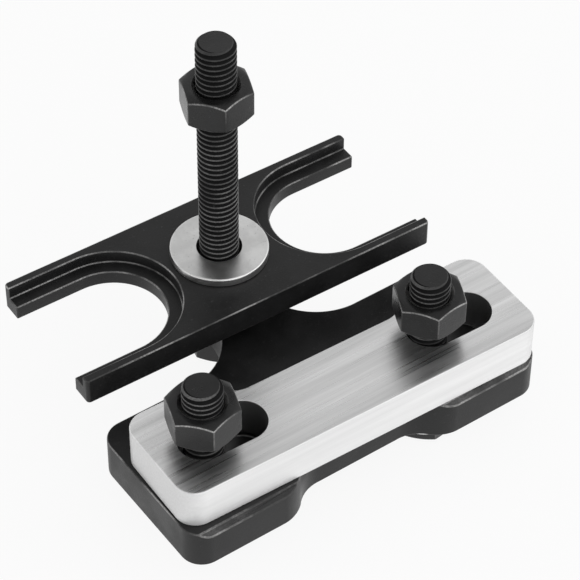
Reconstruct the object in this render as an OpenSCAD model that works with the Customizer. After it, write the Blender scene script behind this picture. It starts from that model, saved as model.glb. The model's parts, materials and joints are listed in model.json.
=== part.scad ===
// Twin valve spring compressor: a slotted base with a tongue carries a stud, and a nut on the
// stud presses a forked plate down on two spring retainers. A loose bar and two bolts clamp the base.
// Origin: on the bolt line, straight in front of the stud, on the underside of the base.
// X runs along the bolt line, Y from the bolts to the stud, Z up the stud. Millimetres.

/* [Base plate] */
// Length of the base along the bolt line
base_len = 83.4; // [76:0.2:90]
// Thickness of the base
base_thick = 8.8; // [6:0.1:11]
// From the bolt line to the front edge of the ears
ear_front = 12.8; // [12:0.1:17]
// From the bolt line to the back edge of the ears
ear_back = 20.8; // [16:0.1:24]
// Radius of the four outer corners
base_corner_r = 4.6; // [2:0.1:6]
// Depth of the hollow in the front edge, between the ears
front_hollow = 4.9; // [2:0.1:7]
// Straight length of that hollow along its inner edge
front_hollow_len = 19.6; // [6:0.1:24]
// Radius of the S curves at both ends of that hollow
front_hollow_r = 7.8; // [4:0.1:9]
// Chamfer along the top front edge of the ears
ear_chamfer = 1.1; // [0.3:0.1:2]
// From the bolt line to the stud
stud_reach = 38.9; // [36:0.1:46]
// Outer radius of the tongue round the stud
boss_r = 6.6; // [6:0.1:10]
// Radius of the hollow flanks of the tongue, which clear the springs
flank_r = 14; // [11:0.1:16]
// How far the middle of the base stands to the right of the stud
base_set = 0.7; // [-0.8:0.1:0.8]

/* [Clamp bar] */
// Length of the bar
bar_len = 83; // [78:0.5:92]
// From the bolt line to the front edge of the bar
bar_front = 11.3; // [8:0.1:14]
// From the bolt line to the back edge of the bar
bar_back = 12.5; // [11:0.1:16]
// Thickness of the bar
bar_thick = 9.3; // [6:0.1:11]
// Radius of the four outer corners
bar_corner_r = 4.5; // [1:0.1:6]
// Depth of the hollow in the back edge, which clears the springs
bar_hollow = 5.9; // [2:0.1:6.5]
// Straight length of that hollow along its inner edge
bar_hollow_len = 32.6; // [8:0.2:38]
// Radius of the S curves at both ends of that hollow
bar_hollow_r = 5.5; // [4:0.1:6.5]
// How far the bar sits to the right of the base's middle
bar_shift = 1.1; // [-1:0.1:1.3]
// How far the loose bar, and the bolts with it, is turned on the base
bar_turn = -1.5; // [-1.6:0.1:1.6]

/* [Bolt slots] */
// Distance between the middles of the two slots
slot_spacing = 53; // [48:0.5:58]
// How far a bolt can travel in its slot, between the centres of the slot's ends
slot_travel = 8.7; // [6:0.1:10]
// Room beside a bolt in its slot
slot_clear = 1.05; // [0.9:0.05:1.3]
// How far the left bolt stands from the left end of its travel
left_bolt_set = 1.2; // [0.9:0.1:5]
// How far the right bolt stands from the left end of its travel
right_bolt_set = 0.4; // [0.3:0.1:5]

/* [Fork plate] */
// Length of the fork plate
fork_len = 81; // [74:0.5:92]
// Width of the fork plate
fork_wide = 32.2; // [31:0.1:40]
// Thickness of the fork plate
fork_thick = 6; // [4.5:0.1:9]
// Distance between the two valves
valve_spacing = 51; // [46:0.1:56]
// Width of each open slot
fork_slot = 22.6; // [18:0.1:24]
// Width of the ledge round each slot
ledge_wide = 3; // [1:0.1:3.8]
// Depth of the ledge below the top face
ledge_depth = 2.8; // [1:0.1:3.5]
// Radius of the outer corners
fork_corner_r = 0.8; // [0.3:0.1:1.2]
// How far the fork plate is turned on the stud
fork_turn = -1.5; // [-10:0.5:10]

/* [Fasteners] */
// Thread diameter of the stud and the bolts
thread_d = 8; // [6:0.5:9]
// Chamfer at the end of a thread
thread_chamfer = 1.1; // [0.5:0.1:1.5]
// Width across flats of the nuts and heads
hex_af = 13; // [12.5:0.1:14]
// Height of a bolt head
head_high = 5.3; // [4:0.1:7]
// Height of a full nut
nut_high = 6.8; // [5:0.1:7.5]
// Height of the thin lock nut that holds the stud in the tongue
lock_nut_high = 5.4; // [4:0.1:7]
// Length of the stud under its head
stud_len = 75; // [73:1:90]
// Length of a clamp bolt under its head
clamp_bolt_len = 35; // [34:1:45]
// Outer diameter of the washer under the press nut
press_washer_d = 20; // [16:0.5:21]
// Outer diameter of the washers under the base
clamp_washer_d = 20; // [16:0.5:26]
// Thickness of the washers
washer_thick = 2; // [1:0.1:2.5]

/* [Set-up and clearances] */
// From the washer on the fork plate up to the nut that presses it
press_gap = 35.8; // [10:0.2:40]
// From the bar up to the clamp nuts, which are left loose
clamp_gap = 3.7; // [0:0.1:6]
// Room round a thread in a nut
thread_clear = 0.05; // [0.02:0.01:0.1]
// Room round the stud in the tongue
stud_hole_clear = 0.25; // [0.1:0.05:0.5]
// Room round a thread in a washer and in the fork plate
washer_clear = 0.5; // [0.2:0.05:0.6]

/* [Hidden] */
$fn = 96;

black_oxide = [0.13, 0.13, 0.13];
black_bolt = [0.18, 0.18, 0.18];
bright_bar = [0.84, 0.84, 0.84];
zinc = [0.72, 0.72, 0.70];

// Cuts run past the faces that they open
past = 1;
// Arcs cross the lines and arcs that they run into by this much, which leaves no sliver there
hair = 0.02;

// Heights of the stack, from the underside of the base up
bar_z = base_thick;
bar_top = bar_z + bar_thick;
lock_nut_z = base_thick;
fork_z = lock_nut_z + lock_nut_high;
fork_top = fork_z + fork_thick;
press_nut_z = fork_top + washer_thick + press_gap;
clamp_nut_z = bar_top + clamp_gap;

// The bolts stand near the left end of their slots, on the middle line of the bar
left_bolt_x = left_bolt_set - slot_travel / 2 - slot_spacing / 2;
right_bolt_x = right_bolt_set - slot_travel / 2 + slot_spacing / 2;
slot_r = thread_d / 2 + slot_clear;

// Hex fasteners: the chamfer cone starts at this share of the width across flats
hex_face = 0.95;
hex_corner_r = hex_af / 2 / cos(30);
hex_face_r = hex_face * hex_af / 2;
hex_chamfer = (hex_corner_r - hex_face_r) * tan(30);
thread_mouth = 0.5;

// A flat outline with four round corners, from corner a to corner b
module rounded_rectangle(a, b, r) {
    translate([a.x + r, a.y]) square([b.x - a.x - 2 * r, b.y - a.y]);
    translate([a.x, a.y + r]) square([b.x - a.x, b.y - a.y - 2 * r]);
    for (x = [a.x + r, b.x - r], y = [a.y + r, b.y - r]) translate([x, y]) circle(r);
}

// A hollow that opens to -Y at y = 0: straight inside, with an S curve of radius r at each end.
// The rounded ear stands a hair low and the round inner corner a hair high, so that they cross.
module edge_hollow(straight, depth, r) {
    inner_x = straight / 2;
    outer_x = inner_x + sqrt(4 * r * depth - depth * depth);
    middle_x = (inner_x + outer_x) / 2;
    difference() {
        polygon([[-outer_x, -past], [-outer_x, 0], [-middle_x, depth / 2], [-inner_x, depth],
            [inner_x, depth], [middle_x, depth / 2], [outer_x, 0], [outer_x, -past]]);
        for (side = [-1, 1]) translate([side * outer_x, r - hair]) circle(r);
    }
    for (side = [-1, 1]) translate([side * inner_x, depth - r + hair]) circle(r);
}

// The two bolt slots, about the middle of their plate
module bolt_slots() {
    for (side = [-1, 1]) translate([side * slot_spacing / 2, 0]) {
        square([slot_travel, 2 * slot_r], center = true);
        for (end = [-1, 1]) translate([end * slot_travel / 2, 0]) circle(slot_r);
    }
}

// Tongue from the ears to the stud: its hollow flanks run into the back edge and the round end,
// and cross both by a hair
module tongue_outline() {
    flank_y = ear_back + flank_r;
    rise = stud_reach - flank_y;
    flank_x = sqrt(pow(flank_r + boss_r - 2 * hair, 2) - pow(rise, 2));
    share = boss_r / (flank_r + boss_r);
    meet = [share * flank_x, stud_reach - share * rise];
    difference() {
        polygon([[-flank_x, 0], [flank_x, 0], [flank_x, ear_back], meet,
            [-meet.x, meet.y], [-flank_x, ear_back]]);
        for (side = [-1, 1]) translate([side * flank_x, flank_y - hair]) circle(flank_r);
    }
    translate([0, stud_reach]) circle(boss_r);
}

module base_outline() {
    difference() {
        translate([base_set, 0]) difference() {
            union() {
                rounded_rectangle([-base_len / 2, -ear_front], [base_len / 2, ear_back], base_corner_r);
                tongue_outline();
            }
            translate([0, -ear_front]) edge_hollow(front_hollow_len, front_hollow, front_hollow_r);
            bolt_slots();
        }
        translate([0, stud_reach]) circle(thread_d / 2 + stud_hole_clear);
    }
}

// Wedge that chamfers the top front edge of the ears
module ear_chamfer_cut() {
    translate([base_set - base_len / 2 - past, -ear_front, base_thick]) rotate([90, 0, 90])
        linear_extrude(base_len + 2 * past)
            polygon([[-past, -ear_chamfer - past], [ear_chamfer + past, past], [-past, past]]);
}

module base_plate() {
    color(black_oxide) difference() {
        linear_extrude(base_thick) base_outline();
        ear_chamfer_cut();
    }
}

module clamp_bar() {
    color(bright_bar) rotate(bar_turn) translate([bar_shift, 0, bar_z])
        linear_extrude(bar_thick) difference() {
            rounded_rectangle([-bar_len / 2, -bar_front], [bar_len / 2, bar_back], bar_corner_r);
            translate([0, bar_back]) mirror([0, 1]) edge_hollow(bar_hollow_len, bar_hollow, bar_hollow_r);
            bolt_slots();
        }
}

// One open-ended slot on the +X side, with a round inner end on the valve axis
module fork_opening(wide) {
    translate([valve_spacing / 2, 0]) {
        circle(wide / 2);
        translate([0, -wide / 2]) square([fork_len / 2 - valve_spacing / 2 + past, wide]);
    }
}

module fork_plate() {
    color(black_oxide) translate([0, stud_reach, fork_z]) rotate(fork_turn) difference() {
        linear_extrude(fork_thick)
            rounded_rectangle([-fork_len / 2, -fork_wide / 2], [fork_len / 2, fork_wide / 2], fork_corner_r);
        for (side = [0, 1]) mirror([side, 0, 0]) {
            translate([0, 0, -past]) linear_extrude(fork_thick + 2 * past) fork_opening(fork_slot);
            translate([0, 0, fork_thick - ledge_depth]) linear_extrude(ledge_depth + past)
                fork_opening(fork_slot + 2 * ledge_wide);
        }
        translate([0, 0, -past]) cylinder(d = thread_d + 2 * washer_clear, h = fork_thick + 2 * past);
    }
}

// Hexagon standing on z = 0, chamfered at the bottom and, for a nut, at the top
module hexagon(high, top_chamfer) {
    intersection() {
        cylinder(r = hex_corner_r, h = high, $fn = 6);
        rotate_extrude() polygon([[0, 0], [hex_face_r, 0], [hex_corner_r + past, hex_chamfer + past * tan(30)],
            [hex_corner_r + past, high - (top_chamfer ? hex_chamfer + past * tan(30) : 0)],
            [top_chamfer ? hex_face_r : hex_corner_r + past, high], [0, high]]);
    }
}

// Nut standing on z = 0, its thread a plain bore with a chamfered mouth at both ends
module nut(high) {
    bore_r = thread_d / 2 + thread_clear;
    color(black_bolt) difference() {
        hexagon(high, true);
        rotate_extrude() polygon([[0, -past], [bore_r + thread_mouth + past, -past], [bore_r, thread_mouth],
            [bore_r, high - thread_mouth], [bore_r + thread_mouth + past, high + past], [0, high + past]]);
    }
}

// Bolt with its head below z = 0 and its plain shank above, chamfered at the end
module bolt(length) {
    r = thread_d / 2;
    color(black_bolt) union() {
        translate([0, 0, -head_high]) hexagon(head_high, false);
        rotate_extrude() polygon([[0, -head_high / 2], [r, -head_high / 2], [r, length - thread_chamfer],
            [r - thread_chamfer, length], [0, length]]);
    }
}

module washer(d) {
    color(zinc) difference() {
        cylinder(d = d, h = washer_thick);
        translate([0, 0, -past]) cylinder(d = thread_d + 2 * washer_clear, h = washer_thick + 2 * past);
    }
}

// How far each hexagon is turned about its thread
centre_head_turn = 14;
lock_nut_turn = 8;
press_nut_turn = 9.5;
left_nut_turn = 14;
right_nut_turn = 8;
left_head_turn = 10;
right_head_turn = 14.5;

module centre_bolt() translate([0, stud_reach, 0]) rotate(centre_head_turn) bolt(stud_len);
module lock_nut() translate([0, stud_reach, lock_nut_z]) rotate(lock_nut_turn) nut(lock_nut_high);
module press_nut() translate([0, stud_reach, press_nut_z]) rotate(press_nut_turn) nut(nut_high);
module press_washer() translate([0, stud_reach, fork_top]) washer(press_washer_d);
module clamp_bolt(x, turn) rotate(bar_turn) translate([x, 0, -washer_thick]) rotate(turn) bolt(clamp_bolt_len);
module clamp_nut(x, turn) rotate(bar_turn) translate([x, 0, clamp_nut_z]) rotate(turn) nut(nut_high);
module clamp_washer(x) rotate(bar_turn) translate([x, 0, -washer_thick]) washer(clamp_washer_d);
module clamp_bolt_left() clamp_bolt(left_bolt_x, left_head_turn);
module clamp_bolt_right() clamp_bolt(right_bolt_x, right_head_turn);
module clamp_nut_left() clamp_nut(left_bolt_x, left_nut_turn);
module clamp_nut_right() clamp_nut(right_bolt_x, right_nut_turn);
module clamp_washer_left() clamp_washer(left_bolt_x);
module clamp_washer_right() clamp_washer(right_bolt_x);

base_plate();
clamp_bar();
fork_plate();
centre_bolt();
lock_nut();
press_nut();
press_washer();
clamp_bolt_left();
clamp_bolt_right();
clamp_nut_left();
clamp_nut_right();
clamp_washer_left();
clamp_washer_right();
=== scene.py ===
"""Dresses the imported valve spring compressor: eased plates, threaded fasteners, worn finishes."""

import json
import math

import bmesh
import bpy
from bpy.props import FloatProperty, FloatVectorProperty, PointerProperty
from mathutils import Matrix, Vector


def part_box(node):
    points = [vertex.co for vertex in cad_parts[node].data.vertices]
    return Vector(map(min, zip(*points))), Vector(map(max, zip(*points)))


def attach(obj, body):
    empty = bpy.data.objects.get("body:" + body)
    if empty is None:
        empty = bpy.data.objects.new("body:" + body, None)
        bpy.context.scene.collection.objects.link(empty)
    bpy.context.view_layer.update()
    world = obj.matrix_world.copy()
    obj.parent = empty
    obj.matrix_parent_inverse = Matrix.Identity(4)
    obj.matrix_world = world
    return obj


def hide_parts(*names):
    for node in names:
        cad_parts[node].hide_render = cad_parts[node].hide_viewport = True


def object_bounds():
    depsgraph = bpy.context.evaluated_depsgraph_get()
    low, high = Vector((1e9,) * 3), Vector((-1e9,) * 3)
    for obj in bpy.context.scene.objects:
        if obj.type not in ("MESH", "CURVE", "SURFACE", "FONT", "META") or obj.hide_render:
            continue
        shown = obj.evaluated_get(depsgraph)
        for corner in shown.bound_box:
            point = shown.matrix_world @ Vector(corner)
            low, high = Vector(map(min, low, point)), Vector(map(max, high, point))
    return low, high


bl_info = {
    "name": "Valve Spring Compressor",
    "version": (1, 0, 0),
    "blender": (4, 5, 0),
    "location": "View3D > Sidebar > Compressor",
    "description": "Builds the looks of a twin valve spring compressor over its packed frame",
    "category": "Object",
}

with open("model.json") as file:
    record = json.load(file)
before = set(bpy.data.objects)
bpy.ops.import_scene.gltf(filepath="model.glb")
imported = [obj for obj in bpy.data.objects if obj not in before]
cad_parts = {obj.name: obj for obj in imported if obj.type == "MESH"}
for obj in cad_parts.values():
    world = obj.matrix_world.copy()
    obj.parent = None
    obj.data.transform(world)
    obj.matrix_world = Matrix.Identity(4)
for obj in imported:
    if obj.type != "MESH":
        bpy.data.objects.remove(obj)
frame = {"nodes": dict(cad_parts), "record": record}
cad_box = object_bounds()

# How far each nut and head is turned in the frame, in degrees
HEX_TURNS = {
    "centre_bolt": 14,
    "lock_nut": 8,
    "press_nut": 9.5,
    "clamp_bolt_left": 8.5,
    "clamp_bolt_right": 13,
    "clamp_nut_left": 12.5,
    "clamp_nut_right": 6.5,
}
# The body that carries each node
BODIES = {
    node: body
    for body, nodes in frame["record"]["behaviour"]["bodies"].items()
    for node in nodes
}

# Points of the frame closer than WELD are one point, faces that meet at less than FLAT one face
WELD = 0.000002
FLAT = math.radians(0.6)
# Points of a thread closer than this are one point
MERGE = 0.0000005
# Edges that turn by more than this are rounded
SHARP = math.radians(35)
# Faces that meet at more than this show a crease
CREASE = math.radians(50)
THREAD_CREASE = math.radians(65)

# Wear of edges and faces, and painted highlights drawn as bare steel: none is 0, and the more it
# is, the more bare steel shows
PLATE_EDGE_WEAR = 1.2
PLATE_CHAMFER_WEAR = 0.3
# Nut and head corners are worn and carry a painted highlight; nut mouths and thread crests carry
# only a painted highlight
HEX_WEAR_AND_GLINT = 1.5
MOUTH_GLINT = 0.6
CREST_GLINT = 0.5
# A rounded edge that faces up by more than FACES_UP wears in full, others SHELTER times less
FACES_UP = 0.2
SHELTER = 3
# The front chamfers of the plates face forward and up by more than this
CHAMFER_FACING = 0.4

# Points round a hexagon, a thread and a washer
HEX_COLUMNS = 72
THREAD_COLUMNS = 56
WASHER_COLUMNS = 96
# A hexagon's chamfer cone: its slope, and the share of the width across flats where it starts
CHAMFER_SLOPE = math.tan(math.radians(30))
HEX_FACE = 0.95
# Dish in a bolt head: its depth, and where its slope starts and ends as shares of the face
DISH_DEPTH = 0.00025
DISH_FLOOR = 0.6
DISH_RIM = 0.72
# One thread turn: shares of the pitch and of the groove's depth, the rounded crest first
THREAD_PROFILE = ((0.0, 0.1), (0.1, 0.0), (0.2, 0.0), (0.32, 0.12), (0.58, 1.0), (0.7, 1.0))
CREST_FACES = 3
# Turns of a thread that reach past its two ends and are flattened there
SPARE_TURNS = 3
# Angles round the rim of a washer
QUARTER_ROUND = [math.radians(step) for step in (0, 30, 60, 90)]

# The bar is turned on the base by this angle, and the walls of its slots lie within these distances
# of the middle, along the bolt line and across it. A wall faces up or down by less than UPRIGHT.
BAR_TURN = math.radians(-1.5)
SLOT_REACH = 0.038
SLOT_HALF = 0.0056
UPRIGHT = 0.5

# Reach of the bumps in a surface grain
GRAIN_DEPTH = 0.0002

WHITE = (1.0, 1.0, 1.0, 1.0)
# The floor reaches this far from the part and lies this far below it
FLOOR_REACH = 4.0
FLOOR_DROP = 0.0002
# The camera's sensor in millimetres, and the nearest distance that it shows
SENSOR_WIDTH = 36.0
NEAREST = 0.02


def length(name, description, default):
    """A length in metres that a user may change."""
    return FloatProperty(
        name=name, description=description, default=default, min=0, precision=5, unit="LENGTH"
    )


def position(name, description, default):
    """A point that a user may move."""
    return FloatVectorProperty(
        name=name, description=description, default=default, precision=5,
        subtype="TRANSLATION", unit="LENGTH",
    )


def colour(name, description, default):
    """A colour that a user may change."""
    return FloatVectorProperty(
        name=name, description=description, default=default, size=3, min=0, max=1, subtype="COLOR"
    )


def share(name, description, default):
    """A number from 0 to 1 that a user may change."""
    return FloatProperty(
        name=name, description=description, default=default, min=0, max=1, subtype="FACTOR"
    )


def angle(name, description, degrees):
    """An angle that a user may change."""
    return FloatProperty(
        name=name, description=description, default=math.radians(degrees), subtype="ANGLE"
    )


def power(name, description, default):
    """Power of a lamp in watts that a user may change."""
    return FloatProperty(name=name, description=description, default=default, min=0, unit="POWER")


class CompressorSizes(bpy.types.PropertyGroup):
    """Small sizes that the frame doesn't hold."""

    plate_edge: length("Plate edge", "Rounding of the edges of the black plates", 0.00024)
    bar_edge: length("Bar edge", "Rounding of the edges of the bright bar", 0.0003)
    washer_edge: length("Washer edge", "Rounding of the stamped rim of a washer", 0.0004)
    hex_edge: length("Hex edge", "Rounding of the corners of nuts and heads", 0.00018)
    hex_flats: length("Width across flats", "Width of the nuts and heads across flats", 0.013)
    head_high: length("Head height", "Height of a bolt head", 0.0053)
    thread: length("Thread diameter", "Outer diameter of the thread", 0.008)
    pitch: length("Thread pitch", "Rise of the thread in one turn", 0.00125)
    thread_depth: length("Thread depth", "Depth of the thread groove", 0.00077)
    thread_end: length("Thread chamfer", "Chamfer at the end of a thread", 0.0008)
    nut_bore: length("Nut bore", "Diameter of the hole through a nut", 0.0081)
    nut_groove: length("Nut groove", "Depth of the thread groove in a nut", 0.0005)
    nut_mouth: length("Nut mouth", "Chamfer at both mouths of a nut", 0.0008)
    washer_bore: length("Washer bore", "Diameter of the hole through a washer", 0.009)


class CompressorFinish(bpy.types.PropertyGroup):
    """Colours, gloss and wear of the finishes."""

    plate_black: colour("Plate black", "Black oxide on the plates", (0.011, 0.011, 0.0112))
    plate_rough: share("Plate roughness", "Roughness of the black plates", 0.4)
    plate_sheen: share("Plate sheen", "Specular level of the black plates", 0.3)
    plate_wear: share("Plate wear", "How far the worn edges of the plates are bare", 0.6)
    bolt_black: colour("Bolt black", "Black oxide on nuts and bolts", (0.009, 0.009, 0.0092))
    bolt_rough: share("Bolt roughness", "Roughness of nuts and bolts", 0.3)
    bolt_sheen: share("Bolt sheen", "Specular level of nuts and bolts", 0.38)
    # Bolt wear also scales the highlights painted on corners, mouths and thread crests
    bolt_wear: share("Bolt wear", "How far the worn edges of nuts and bolts are bare", 0.5)
    groove_rough: share("Groove roughness", "Roughness of the thread grooves", 0.6)
    groove_sheen: share("Groove sheen", "Specular level of the thread grooves", 0.04)
    bare_steel: colour("Bare steel", "Steel where the black is worn off", (0.52, 0.515, 0.51))
    aluminium: colour("Aluminium", "Brushed aluminium of the bar", (0.92, 0.92, 0.92))
    aluminium_rough: share("Aluminium roughness", "Roughness of the top of the bar", 0.32)
    side_rough: share("Side roughness", "Roughness of the sides of the bar", 0.42)
    side_metal: share("Side metal", "How far the sides of the bar shine as metal", 0.45)
    zinc: colour("Zinc", "Zinc plating of the washers", (0.74, 0.74, 0.735))
    zinc_rough: share("Zinc roughness", "Roughness of the washers", 0.32)


class CompressorStage(bpy.types.PropertyGroup):
    """Camera, floor and lamps."""

    aim: position("Aim", "Point in the middle of the picture", (0.011829, 0.030923, 0.009227))
    distance: length("Distance", "Distance from the aim point to the camera", 0.53893)
    azimuth: angle("Azimuth", "Turn of the camera about the upright axis", -35.715)
    elevation: angle("Elevation", "Height of the camera above the horizon", 45.1)
    roll: angle("Roll", "Turn of the picture", 0.5)
    lens: FloatProperty(name="Lens", description="Focal length in mm", default=164.068)
    floor: colour("Floor", "Colour of the floor", (0.86, 0.86, 0.86))
    floor_white: share("Floor white", "How far the floor shows as plain white", 0.9)
    horizon: share("Horizon", "Strength of the even light from the sides", 1.0)
    zenith: share("Zenith", "Strength of the even light from above", 0.55)
    key: power("Key lamp", "Power of the lamp in front", 3.4)
    key_place: position("Key place", "Where the lamp in front hangs", (0.12, -0.9, 0.65))
    key_size: length("Key size", "Width of the lamp in front", 1.6)
    fill: power("Fill lamp", "Power of the lamp on the right", 1.0)
    fill_place: position("Fill place", "Where the lamp on the right hangs", (0.8, -0.4, 0.5))
    fill_size: length("Fill size", "Width of the lamp on the right", 0.8)


def add(tree, kind, inputs=None, **settings):
    """A new shader node with its settings, and its inputs set to values or linked to sockets."""
    made = tree.nodes.new(kind)
    for name, value in settings.items():
        setattr(made, name, value)
    for name, value in (inputs or {}).items():
        if isinstance(value, bpy.types.NodeSocket):
            tree.links.new(value, made.inputs[name])
        else:
            made.inputs[name].default_value = value
    return made


def link(tree, sockets, node):
    """Feeds the named inputs of a node."""
    for name, socket in sockets.items():
        tree.links.new(socket, node.inputs[name])


def blend_colours(tree, factor, low, high):
    """Socket of a mix from the colour low to the colour high."""
    return add(tree, "ShaderNodeMix", {0: factor, 6: low, 7: high}, data_type="RGBA").outputs[2]


def blend_values(tree, factor, low, high):
    """Socket of a mix from the number low to the number high."""
    return add(tree, "ShaderNodeMix", {0: factor, 2: low, 3: high}).outputs[0]


def calculate(tree, operation, values, clamp=False):
    """Socket of one calculation on sockets or numbers."""
    inputs = dict(enumerate(values))
    return add(tree, "ShaderNodeMath", inputs, operation=operation, use_clamp=clamp).outputs[0]


def noise(tree, place, scale, detail, roughness=0.5):
    """Socket of a noise pattern."""
    inputs = {"Vector": place, "Scale": scale, "Detail": detail, "Roughness": roughness}
    return add(tree, "ShaderNodeTexNoise", inputs).outputs["Fac"]


def stretch(tree, value, low, high, least=0.0, **settings):
    """Socket of a value whose part from low to high runs from least to 1."""
    inputs = {"Value": value, "From Min": low, "From Max": high, "To Min": least}
    return add(tree, "ShaderNodeMapRange", inputs, **settings).outputs["Result"]


def effect_group(name, inputs, outputs):
    """An empty node group with float inputs, given with their defaults, and float outputs."""
    tree = bpy.data.node_groups.new(name, "ShaderNodeTree")
    for label, default in inputs.items():
        socket = tree.interface.new_socket(label, in_out="INPUT", socket_type="NodeSocketFloat")
        socket.default_value = default
    for label in outputs:
        tree.interface.new_socket(label, in_out="OUTPUT", socket_type="NodeSocketFloat")
    return tree, add(tree, "NodeGroupInput").outputs, add(tree, "NodeGroupOutput")


def wear_and_glint_group():
    """Mask of bare metal: the wear on the faces, and on nuts and bolts also painted highlights,
    which comes and goes and has a fine grain.
    """
    name = "Worn Edges"
    if name in bpy.data.node_groups:
        return bpy.data.node_groups[name]
    tree, given, result = effect_group(name, {"Scale": 250.0, "Amount": 0.5}, ["Mask"])
    place = add(tree, "ShaderNodeTexCoord").outputs["Object"]
    patches = stretch(tree, noise(tree, place, given["Scale"], 3.0), 0.4, 0.64, least=0.12)
    grain = stretch(tree, noise(tree, place, 3000.0, 2.0), 0.3, 0.6, least=0.4)
    mask = add(tree, "ShaderNodeAttribute", attribute_name="wear").outputs["Fac"]
    for part in (given["Amount"], patches, grain):
        mask = calculate(tree, "MULTIPLY", [mask, part], clamp=True)
    link(tree, {"Mask": mask}, result)
    return tree


def mottle_group():
    """Slow patches and small specks, for tone and roughness."""
    name = "Mottle"
    if name in bpy.data.node_groups:
        return bpy.data.node_groups[name]
    scales = {"Patch Scale": 90.0, "Speck Scale": 1400.0}
    tree, given, result = effect_group(name, scales, ["Patches", "Specks"])
    place = add(tree, "ShaderNodeTexCoord").outputs["Object"]
    soft = {"interpolation_type": "SMOOTHSTEP"}
    patches = noise(tree, place, given["Patch Scale"], 4.0, roughness=0.6)
    specks = noise(tree, place, given["Speck Scale"], 3.0, roughness=0.7)
    link(tree, {
        "Patches": stretch(tree, patches, 0.35, 0.68, **soft),
        "Specks": stretch(tree, specks, 0.62, 0.74, **soft),
    }, result)
    return tree


def grain_group():
    """Height of a fine surface grain, which may be drawn out along X like brush strokes."""
    name = "Grain"
    if name in bpy.data.node_groups:
        return bpy.data.node_groups[name]
    scales = {"Along": 2500.0, "Across": 2500.0}
    tree, given, result = effect_group(name, scales, ["Height", "Streaks"])
    place = add(tree, "ShaderNodeTexCoord").outputs["Object"]
    sides = {"X": given["Along"], "Y": given["Across"], "Z": given["Across"]}
    scale = add(tree, "ShaderNodeCombineXYZ", sides).outputs[0]
    drawn = add(tree, "ShaderNodeVectorMath", {0: place, 1: scale}, operation="MULTIPLY").outputs[0]
    height = noise(tree, drawn, 1.0, 4.0, roughness=0.6)
    link(tree, {"Height": height, "Streaks": stretch(tree, height, 0.3, 0.7)}, result)
    return tree


def effect(tree, group, **values):
    """Outputs of a node group in a material, its inputs named with underscores for spaces."""
    inputs = {name.replace("_", " "): value for name, value in values.items()}
    return add(tree, "ShaderNodeGroup", inputs, node_tree=group).outputs


def grain_normal(tree, height, strength):
    """Socket of normals tilted by a surface grain."""
    inputs = {"Height": height, "Strength": strength, "Distance": GRAIN_DEPTH}
    return add(tree, "ShaderNodeBump", inputs).outputs["Normal"]


def new_material(name):
    """A material with only its shader and output, and the shader."""
    material = bpy.data.materials.new(name)
    material.use_nodes = True
    return material, material.node_tree, material.node_tree.nodes["Principled BSDF"]


def solid(rgb, level=1.0):
    """A colour with alpha, at a share of its level."""
    return tuple(level * part for part in rgb) + (1.0,)


def black_finish(name, black, rough, sheen, wear):
    """Black oxide over steel: patchy, finely grained and rubbed through along its edges, and bare
    steel where the mesh marks a painted highlight.
    """
    if name in bpy.data.materials:
        return bpy.data.materials[name]
    bare_steel = bpy.context.scene.compressor_finish.bare_steel
    material, tree, shader = new_material(name)
    mottle = effect(tree, mottle_group(), Patch_Scale=110.0, Speck_Scale=1500.0)
    # The mask is real wear, and on nuts and bolts also painted highlights on corners, mouths and
    # crests
    worn = effect(tree, wear_and_glint_group(), Scale=130.0, Amount=wear)["Mask"]
    height = effect(tree, grain_group(), Along=2600.0, Across=2600.0)["Height"]
    oxide = blend_colours(tree, mottle["Patches"], solid(black, 0.8), solid(black, 1.3))
    dusted = blend_colours(tree, mottle["Specks"], oxide, solid(black, 3.5))
    shader.inputs["Specular IOR Level"].default_value = sheen
    link(tree, {
        "Base Color": blend_colours(tree, worn, dusted, solid(bare_steel)),
        "Metallic": worn,
        "Roughness": blend_values(tree, mottle["Patches"], rough - 0.05, rough + 0.07),
        "Normal": grain_normal(tree, height, 0.18),
    }, shader)
    return material


def plate_finish():
    """Black oxide of the plates."""
    finish = bpy.context.scene.compressor_finish
    return black_finish(
        "black_oxide_plates", finish.plate_black,
        rough=finish.plate_rough, sheen=finish.plate_sheen, wear=finish.plate_wear,
    )


def bolt_finish():
    """Black oxide of nuts and bolts."""
    finish = bpy.context.scene.compressor_finish
    return black_finish(
        "black_oxide_bolts", finish.bolt_black,
        rough=finish.bolt_rough, sheen=finish.bolt_sheen, wear=finish.bolt_wear,
    )


def groove_finish():
    """Black oxide in the grooves of threads, which has little gloss and no wear."""
    finish = bpy.context.scene.compressor_finish
    return black_finish(
        "black_oxide_grooves", finish.bolt_black,
        rough=finish.groove_rough, sheen=finish.groove_sheen, wear=0.0,
    )


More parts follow.
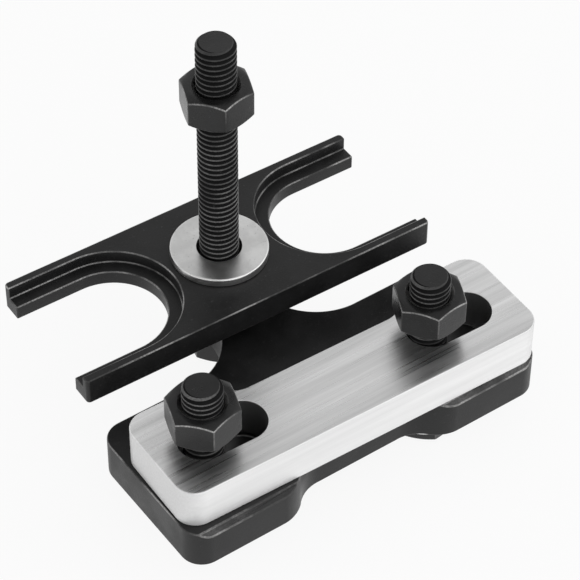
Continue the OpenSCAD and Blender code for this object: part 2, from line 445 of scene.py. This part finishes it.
def aluminium_finish():
    """Aluminium: brushed on top, milled in front, streaked at the ends and painted darker there as
    shade, and painted nearly black on its slot walls as shade and the reflection of the black base.
    """
    finish = bpy.context.scene.compressor_finish
    material, tree, shader = new_material("brushed_aluminium")

    def shade(level):
        return solid(finish.aluminium, level)

    brush = effect(tree, grain_group(), Along=40.0, Across=2600.0)
    streaks = brush["Streaks"]
    stains = effect(tree, grain_group(), Along=14.0, Across=420.0)["Streaks"]
    specks = effect(tree, mottle_group(), Patch_Scale=60.0, Speck_Scale=900.0)["Specks"]
    normal = add(tree, "ShaderNodeTexCoord").outputs["Normal"]
    facing = add(tree, "ShaderNodeSeparateXYZ", {0: normal}).outputs
    top = facing["Z"]
    end = calculate(tree, "ABSOLUTE", [facing["X"]])
    # Faces marked as slot walls, which get a painted shade and a painted reflection of the black
    # base
    painted_slot_shade = add(tree, "ShaderNodeAttribute", attribute_name="painted_slot_shade").outputs["Fac"]
    brushed = blend_colours(tree, streaks, shade(0.93), shade(1.12))
    stained = blend_colours(tree, stains, shade(0.74), brushed)
    specked = blend_colours(tree, specks, stained, shade(0.85))
    milled = blend_colours(tree, stains, shade(0.9), shade(1.04))
    # The ends are streaked like sawn metal and painted darker than the sides as shade
    sawn_and_shaded = blend_colours(tree, streaks, shade(0.74), shade(0.82))
    sides = blend_colours(tree, end, milled, sawn_and_shaded)
    outside_slots = blend_colours(tree, top, sides, specked)
    rough = finish.aluminium_rough
    gloss = blend_values(tree, streaks, rough - 0.08, rough + 0.08)
    link(tree, {
        # Slot walls are painted nearly black: painted shade and a painted reflection of the black
        # base inside the slots
        "Base Color": blend_colours(tree, painted_slot_shade, outside_slots, shade(0.12)),
        "Roughness": blend_values(tree, top, finish.side_rough, gloss),
        "Metallic": blend_values(tree, top, finish.side_metal, 1.0),
        "Normal": grain_normal(tree, brush["Height"], 0.1),
    }, shader)
    return material


def zinc_finish():
    """Zinc plating, matt, with dark specks."""
    finish = bpy.context.scene.compressor_finish
    material, tree, shader = new_material("zinc_plating")
    mottle = effect(tree, mottle_group(), Patch_Scale=160.0, Speck_Scale=1700.0)
    height = effect(tree, grain_group(), Along=3000.0, Across=3000.0)["Height"]
    patches = mottle["Patches"]
    tone = blend_colours(tree, patches, solid(finish.zinc, 0.88), solid(finish.zinc, 1.1))
    rough = finish.zinc_rough
    shader.inputs["Metallic"].default_value = 1.0
    link(tree, {
        "Base Color": blend_colours(tree, mottle["Specks"], tone, solid(finish.zinc, 0.55)),
        "Roughness": blend_values(tree, patches, rough - 0.02, rough + 0.02),
        "Normal": grain_normal(tree, height, 0.06),
    }, shader)
    return material


def shade_by_angle(bm, limit):
    """Smooth faces, with a crease wherever two faces meet at more than the limit."""
    for face in bm.faces:
        face.smooth = True
    for edge in bm.edges:
        edge.smooth = edge.is_manifold and edge.calc_face_angle() < limit


def face_layer(bm, name):
    """Layer of numbers on the faces, which a finish reads by its name."""
    return bm.faces.layers.float.get(name) or bm.faces.layers.float.new(name)


def ease_edges(bm, width, wear):
    """Rounds every sharp edge and marks the new strips as worn, those that face up the most; on
    nuts and heads the mark also stands for a painted highlight.
    """
    layer = face_layer(bm, "wear")
    bmesh.ops.recalc_face_normals(bm, faces=bm.faces)
    sharp = [edge for edge in bm.edges if edge.is_manifold and edge.calc_face_angle() > SHARP]
    rounded = bmesh.ops.bevel(
        bm, geom=sharp, offset=width, offset_type="OFFSET", segments=2, profile=0.5, affect="EDGES",
        clamp_overlap=False,
    )
    for face in rounded["faces"]:
        face[layer] = wear if face.normal.z > FACES_UP else wear / SHELTER


def show(name, bm, materials):
    """A new object in the scene with the mesh and its materials."""
    mesh = bpy.data.meshes.new(name)
    bm.to_mesh(mesh)
    bm.free()
    for material in materials:
        mesh.materials.append(material)
    shown = bpy.data.objects.new(name, mesh)
    bpy.context.scene.collection.objects.link(shown)
    return shown


def dress(node, bm, materials, crease=CREASE):
    """Turns the mesh into the shown piece for a node, riding on the node's body."""
    bmesh.ops.recalc_face_normals(bm, faces=bm.faces)
    shade_by_angle(bm, crease)
    piece = show("dressed_" + node, bm, materials)
    normals = piece.modifiers.new("Flat faces", "WEIGHTED_NORMAL")
    normals.keep_sharp = True
    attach(piece, BODIES[node])
    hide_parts(node)


def frame_shape(node):
    """The node's own shape with its flat faces joined up."""
    bm = bmesh.new()
    bm.from_mesh(frame["nodes"][node].data)
    bmesh.ops.remove_doubles(bm, verts=bm.verts, dist=WELD)
    bmesh.ops.dissolve_limit(bm, angle_limit=FLAT, verts=bm.verts, edges=bm.edges)
    return bm


def axis_point(node):
    """Middle of a node seen from above, and its lowest and highest level."""
    low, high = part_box(node)
    return Vector(((low[0] + high[0]) / 2, (low[1] + high[1]) / 2, 0)), low[2], high[2]


def skin(bm, rings, closed=False):
    """Quads between rings of points with the same count, from each ring to the next."""
    loops = [[bm.verts.new(point) for point in points] for points in rings]
    count = len(loops[0])
    pairs = list(zip(loops, loops[1:]))
    if closed:
        pairs.append((loops[-1], loops[0]))
    for lower, upper in pairs:
        for i in range(count):
            j = (i + 1) % count
            bm.faces.new((lower[i], lower[j], upper[j], upper[i]))
    return loops


def around(radius, turn, level):
    """A point at a radius and a turn about the upright axis."""
    return Vector((radius * math.cos(turn), radius * math.sin(turn), level))


def ring(centre, radius, level, turn=0.0, columns=HEX_COLUMNS):
    """A circle of points, in step with a hexagon that is turned as far."""
    turns = [2 * math.pi * i / columns + turn for i in range(columns)]
    return [centre + around(radius, each, level) for each in turns]


def hex_ring(centre, flats, level, turn, cut):
    """Points round a hexagon, raised by cut where its corners reach past the chamfer cone."""
    points = []
    for i in range(HEX_COLUMNS):
        step = 2 * math.pi * i / HEX_COLUMNS
        radius = flats / 2 / math.cos(step % (math.pi / 3) - math.pi / 6)
        rise = cut * (radius - HEX_FACE * flats / 2) * CHAMFER_SLOPE
        points.append(centre + around(radius, step + turn, level + rise))
    return points


def helix(bm, centre, turn, columns, span, mouth, radius_at):
    """A right-hand thread between two levels, with bare steel painted on as a highlight over the
    length of a mouth at both ends and on its crests.

    Its radius is that of radius_at(depth, level). Past the ends its points gather on flat rings.
    """
    pitch = bpy.context.scene.compressor_sizes.pitch
    low, high = span
    layer = face_layer(bm, "wear")
    steps = len(THREAD_PROFILE)
    turns = math.ceil((high - low) / pitch) + SPARE_TURNS
    rows = []
    for row in range(turns * steps):
        along, depth = THREAD_PROFILE[row % steps]
        verts = []
        for column in range(columns):
            rise = (row // steps - 1 + along + column / columns) * pitch
            level = min(max(low + rise, low), high)
            point = around(radius_at(depth, level), 2 * math.pi * column / columns + turn, level)
            verts.append(bm.verts.new(centre + point))
        rows.append(verts)
    for row in range((turns - 1) * steps - 1):
        for column in range(columns):
            wraps = column == columns - 1
            beside = row + steps if wraps else row
            after = 0 if wraps else column + 1
            face = bm.faces.new((
                rows[row][column],
                rows[beside][after],
                rows[beside + 1][after],
                rows[row + 1][column],
            ))
            level = face.calc_center_median().z
            # Faces near a nut's mouths get bare steel as a painted highlight
            if min(level - low, high - level) < mouth:
                face[layer] = MOUTH_GLINT
            # Thread crests get bare steel as a painted highlight
            elif row % steps < CREST_FACES:
                face[layer] = CREST_GLINT
            else:
                face.material_index = 1
    bmesh.ops.remove_doubles(bm, verts=bm.verts, dist=MERGE)
    loose = [vert for vert in bm.verts if not vert.link_faces]
    bmesh.ops.delete(bm, geom=loose, context="VERTS")


def nut_shape(node):
    """A nut: chamfered hexagon with worn edges that carry a painted highlight, and a threaded bore
    with countersunk mouths that carry a painted highlight.
    """
    sizes = bpy.context.scene.compressor_sizes
    centre, low, high = axis_point(node)
    turn = math.radians(HEX_TURNS[node])
    flats = sizes.hex_flats
    face = HEX_FACE * flats / 2
    bore = sizes.nut_bore / 2
    mouth = sizes.nut_mouth

    def radius_at(depth, level):
        countersink = mouth - min(level - low, high - level)
        return bore + max(depth * sizes.nut_groove, countersink)

    bm = bmesh.new()
    skin(bm, [
        ring(centre, bore + mouth, low, turn),
        ring(centre, face, low, turn),
        hex_ring(centre, flats, low, turn, 1),
        hex_ring(centre, flats, high, turn, -1),
        ring(centre, face, high, turn),
        ring(centre, bore + mouth, high, turn),
    ])
    # The nut's rounded corners are worn and carry a painted highlight
    ease_edges(bm, sizes.hex_edge, HEX_WEAR_AND_GLINT)
    helix(bm, centre, turn, HEX_COLUMNS, (low, high), mouth, radius_at)
    return bm


def bolt_shape(node):
    """A bolt in one piece: hexagon head below, thread above, joined round the thread's foot."""
    sizes = bpy.context.scene.compressor_sizes
    centre, low, high = axis_point(node)
    turn = math.radians(HEX_TURNS[node])
    flats = sizes.hex_flats
    face = HEX_FACE * flats / 2
    seat = low + sizes.head_high
    outer = sizes.thread / 2
    root = outer - sizes.thread_depth

    def radius_at(depth, level):
        tip = outer - sizes.thread_end + high - level
        return min(outer - depth * sizes.thread_depth, tip, root + level - seat)

    bm = bmesh.new()
    loops = skin(bm, [
        ring(centre, DISH_FLOOR * face, low + DISH_DEPTH, turn),
        ring(centre, DISH_RIM * face, low, turn),
        ring(centre, face, low, turn),
        hex_ring(centre, flats, low, turn, 1),
        hex_ring(centre, flats, seat, turn, 0),
    ])
    bm.faces.new(loops[0])
    bm.faces.new(loops[-1])
    # The head's rounded corners are worn and carry a painted highlight
    ease_edges(bm, sizes.hex_edge, HEX_WEAR_AND_GLINT)
    under_head = max(bm.faces, key=lambda each: each.normal.z * each.calc_area())
    bmesh.ops.delete(bm, geom=[under_head], context="FACES_ONLY")
    helix(bm, centre, 0, THREAD_COLUMNS, (seat, high), 0, radius_at)
    open_edges = [edge for edge in bm.edges if edge.is_boundary]
    rims = [edge for edge in open_edges if edge.verts[0].co.z > high - sizes.thread_end]
    for end in bmesh.ops.holes_fill(bm, edges=rims, sides=0)["faces"]:
        end.material_index = 0
        end[face_layer(bm, "wear")] = 0
    bmesh.ops.bridge_loops(bm, edges=[edge for edge in bm.edges if edge.is_boundary])
    return bm


def washer_shape(node):
    """A stamped washer with rounded rims."""
    sizes = bpy.context.scene.compressor_sizes
    centre, low, high = axis_point(node)
    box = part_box(node)
    bore = sizes.washer_bore / 2
    edge = sizes.washer_edge
    flat = (box[1][0] - box[0][0]) / 2 - edge
    profile = [(bore, low + edge / 2), (bore + edge / 2, low)]
    for turn in QUARTER_ROUND:
        profile.append((flat + edge * math.sin(turn), low + edge - edge * math.cos(turn)))
    for turn in QUARTER_ROUND:
        profile.append((flat + edge * math.cos(turn), high - edge + edge * math.sin(turn)))
    profile += [(bore + edge / 2, high), (bore, high - edge / 2)]
    bm = bmesh.new()
    rings = [ring(centre, radius, level, columns=WASHER_COLUMNS) for radius, level in profile]
    skin(bm, rings, closed=True)
    return bm


class COMPRESSOR_OT_stage(bpy.types.Operator):
    """Builds the floor, the light and the camera"""

    bl_idname = "compressor.stage"
    bl_label = "Stage"

    def execute(self, context):
        stage = context.scene.compressor_stage
        self.light_the_sky(context, stage)
        self.lay_the_floor(stage)
        self.hang_lamp(context, "key", stage.key_place, stage.key_size, stage.key)
        self.hang_lamp(context, "fill", stage.fill_place, stage.fill_size, stage.fill)
        self.set_camera(context, stage)
        context.scene.view_settings.view_transform = "Standard"
        return {"FINISHED"}

    def light_the_sky(self, context, stage):
        """White light from the sides that dims towards the zenith."""
        world = bpy.data.worlds.new("studio")
        context.scene.world = world
        world.use_nodes = True
        tree = world.node_tree
        sky = tree.nodes["Background"]
        sky.inputs["Color"].default_value = WHITE
        direction = add(tree, "ShaderNodeTexCoord").outputs["Generated"]
        height = add(tree, "ShaderNodeSeparateXYZ", {0: direction}).outputs["Z"]
        link(tree, {"Strength": blend_values(tree, height, stage.horizon, stage.zenith)}, sky)

    def lay_the_floor(self, stage):
        """A wide floor at the lowest point of the part: plain white, with a soft shadow."""
        material, tree, shader = new_material("studio_floor")
        shader.inputs["Base Color"].default_value = solid(stage.floor)
        shader.inputs["Roughness"].default_value = 0.9
        shader.inputs["Specular IOR Level"].default_value = 0.0
        white = add(tree, "ShaderNodeEmission", {"Color": WHITE, "Strength": 1.0})
        path = add(tree, "ShaderNodeLightPath").outputs
        seen = path["Is Camera Ray"]
        for ray in ("Is Glossy Ray", "Is Transmission Ray"):
            seen = calculate(tree, "MAXIMUM", [seen, path[ray]])
        amount = calculate(tree, "MULTIPLY", [seen, stage.floor_white])
        shaders = {0: amount, 1: shader.outputs[0], 2: white.outputs[0]}
        mixed = add(tree, "ShaderNodeMixShader", shaders).outputs[0]
        link(tree, {"Surface": mixed}, tree.nodes["Material Output"])
        bm = bmesh.new()
        bmesh.ops.create_grid(bm, x_segments=2, y_segments=2, size=FLOOR_REACH)
        bmesh.ops.translate(bm, verts=bm.verts, vec=(0, 0, cad_box[0][2] - FLOOR_DROP))
        floor = show("floor", bm, [material])

    def hang_lamp(self, context, name, place, size, watts):
        """A square lamp that faces the part."""
        lamp = bpy.data.lights.new(name, "AREA")
        lamp.size = size
        lamp.energy = watts
        hung = bpy.data.objects.new(name, lamp)
        hung.location = place
        hung.rotation_euler = Vector(place).to_track_quat("Z", "Y").to_euler()
        context.scene.collection.objects.link(hung)

    def set_camera(self, context, stage):
        """The camera, from its aim point back along its line of sight."""
        turn = stage.azimuth
        lift = stage.elevation
        out = math.cos(lift)
        back = Vector((math.sin(turn) * out, -math.cos(turn) * out, math.sin(lift)))
        right = Vector((math.cos(turn), math.sin(turn), 0))
        up = back.cross(right)
        right_rolled = math.cos(stage.roll) * right + math.sin(stage.roll) * up
        up_rolled = math.cos(stage.roll) * up - math.sin(stage.roll) * right
        axes = Matrix((right_rolled, up_rolled, back)).transposed()
        place = Vector(stage.aim) + stage.distance * back
        lens = bpy.data.cameras.new("camera")
        lens.lens = stage.lens
        lens.sensor_width = SENSOR_WIDTH
        lens.clip_start = NEAREST
        camera = bpy.data.objects.new("camera", lens)
        camera.matrix_world = Matrix.Translation(place) @ axes.to_4x4()
        context.scene.collection.objects.link(camera)
        context.scene.camera = camera


class COMPRESSOR_OT_plates(bpy.types.Operator):
    """Dresses the base plate and the fork plate in black oxide with worn edges"""

    bl_idname = "compressor.plates"
    bl_label = "Black plates"

    def execute(self, context):
        sizes = context.scene.compressor_sizes
        for node in ("base_plate", "fork_plate"):
            bm = frame_shape(node)
            layer = face_layer(bm, "wear")
            for face in bm.faces:
                if -face.normal.y > CHAMFER_FACING and face.normal.z > CHAMFER_FACING:
                    face[layer] = PLATE_CHAMFER_WEAR
            ease_edges(bm, sizes.plate_edge, PLATE_EDGE_WEAR)
            dress(node, bm, [plate_finish()])
        return {"FINISHED"}


class COMPRESSOR_OT_bar(bpy.types.Operator):
    """Dresses the clamp bar in brushed aluminium"""

    bl_idname = "compressor.bar"
    bl_label = "Clamp bar"

    def execute(self, context):
        bm = frame_shape("clamp_bar")
        untwist = Matrix.Rotation(-BAR_TURN, 3, "Z")
        # Marks the slot walls, which the aluminium paints nearly black as shade and the reflection
        # of the black base
        layer = face_layer(bm, "painted_slot_shade")
        for face in bm.faces:
            place = untwist @ face.calc_center_median()
            in_slot = abs(place.x) < SLOT_REACH and abs(place.y) < SLOT_HALF
            if abs(face.normal.z) < UPRIGHT and in_slot:
                face[layer] = 1.0
        ease_edges(bm, context.scene.compressor_sizes.bar_edge, wear=0.0)
        dress("clamp_bar", bm, [aluminium_finish()])
        return {"FINISHED"}


class COMPRESSOR_OT_washers(bpy.types.Operator):
    """Builds the three zinc-plated washers"""

    bl_idname = "compressor.washers"
    bl_label = "Washers"

    def execute(self, context):
        finishes = [zinc_finish()]
        for node in ("press_washer", "clamp_washer_left", "clamp_washer_right"):
            dress(node, washer_shape(node), finishes)
        return {"FINISHED"}


class COMPRESSOR_OT_nuts(bpy.types.Operator):
    """Builds the four black nuts with their threaded bores"""

    bl_idname = "compressor.nuts"
    bl_label = "Nuts"

    def execute(self, context):
        finishes = [bolt_finish(), groove_finish()]
        for node in ("lock_nut", "press_nut", "clamp_nut_left", "clamp_nut_right"):
            dress(node, nut_shape(node), finishes, THREAD_CREASE)
        return {"FINISHED"}


class COMPRESSOR_OT_bolts(bpy.types.Operator):
    """Builds the stud and the two clamp bolts with their threads"""

    bl_idname = "compressor.bolts"
    bl_label = "Bolts"

    def execute(self, context):
        finishes = [bolt_finish(), groove_finish()]
        for node in ("centre_bolt", "clamp_bolt_left", "clamp_bolt_right"):
            dress(node, bolt_shape(node), finishes, THREAD_CREASE)
        return {"FINISHED"}


class COMPRESSOR_PT_panel(bpy.types.Panel):
    """Lists the steps and their sizes"""

    bl_idname = "COMPRESSOR_PT_panel"
    bl_label = "Valve spring compressor"
    bl_space_type = "VIEW_3D"
    bl_region_type = "UI"
    bl_category = "Compressor"

    def draw(self, context):
        for operator in OPERATORS:
            self.layout.operator(operator.bl_idname)
        for name in SETTINGS:
            settings = getattr(context.scene, name)
            box = self.layout.box()
            for entry in settings.__annotations__:
                box.prop(settings, entry)


SETTINGS = {
    "compressor_sizes": CompressorSizes,
    "compressor_finish": CompressorFinish,
    "compressor_stage": CompressorStage,
}
OPERATORS = (
    COMPRESSOR_OT_stage,
    COMPRESSOR_OT_plates,
    COMPRESSOR_OT_bar,
    COMPRESSOR_OT_washers,
    COMPRESSOR_OT_nuts,
    COMPRESSOR_OT_bolts,
)
CLASSES = (*SETTINGS.values(), *OPERATORS, COMPRESSOR_PT_panel)


def register():
    """Adds the classes and hangs the settings on the scene."""
    for item in CLASSES:
        bpy.utils.register_class(item)
    for name, group in SETTINGS.items():
        setattr(bpy.types.Scene, name, PointerProperty(type=group))


def unregister():
    """Takes the settings and the classes away again."""
    for name in SETTINGS:
        delattr(bpy.types.Scene, name)
    for item in reversed(CLASSES):
        bpy.utils.unregister_class(item)


def main():
    """Builds everything in order."""
    register()
    bpy.ops.compressor.stage()
    bpy.ops.compressor.plates()
    bpy.ops.compressor.bar()
    bpy.ops.compressor.washers()
    bpy.ops.compressor.nuts()
    bpy.ops.compressor.bolts()


if __name__ == "__main__":
    main()
